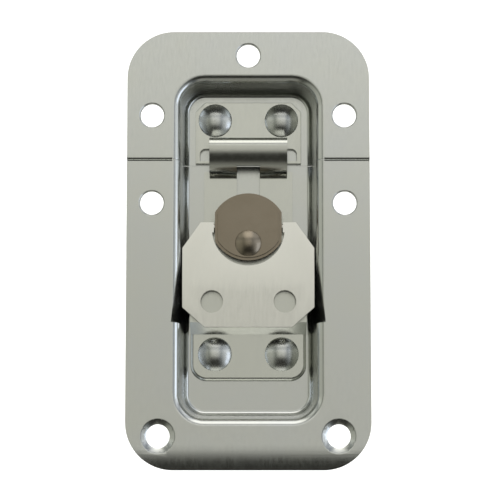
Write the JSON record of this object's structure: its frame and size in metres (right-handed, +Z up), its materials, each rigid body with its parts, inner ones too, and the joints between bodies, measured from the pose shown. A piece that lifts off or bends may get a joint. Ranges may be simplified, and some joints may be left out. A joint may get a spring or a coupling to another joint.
{
  "type": "recessed case latch",
  "caption": "Recessed butterfly case latch: drawn steel dishes split at the parting line, a turn cap with a fold-flat wing, and a rolled claw that hooks a riveted keeper.",
  "frame": {"origin": "on the flange's back plane, on the centre line, at the parting line between lid and case", "axes": "-Y out of the case wall towards the viewer, +Z up from the case to the lid, +X to the viewer's right"},
  "size_m": [0.062, 0.0143, 0.1121],
  "materials": {
    "zinc_dish": "satin",
    "zinc_plate": "satin",
    "rivets": "gloss",
    "nickel": "satin"
  },
  "bodies": {
    "root": {"lower_dish": "zinc_dish", "upper_dish": "zinc_dish", "keeper_plate": "zinc_plate", "keeper_rivets": "rivets", "base_plate": "zinc_plate", "base_rivets": "rivets", "hook_plate": "zinc_plate", "rotor": "nickel", "pivot_rivet": "rivets", "turn_cap": "nickel", "crank_rivet": "nickel"},
    "wing": {"wing": "zinc_plate"}
  },
  "joints": [
    {"name": "wing_fold", "type": "hinge", "parent": "root", "child": "wing", "pos_m": [0, 0.0035, -0.01705], "axis": [-1, 0, 0], "range_deg": [0, 120]}
  ]
}
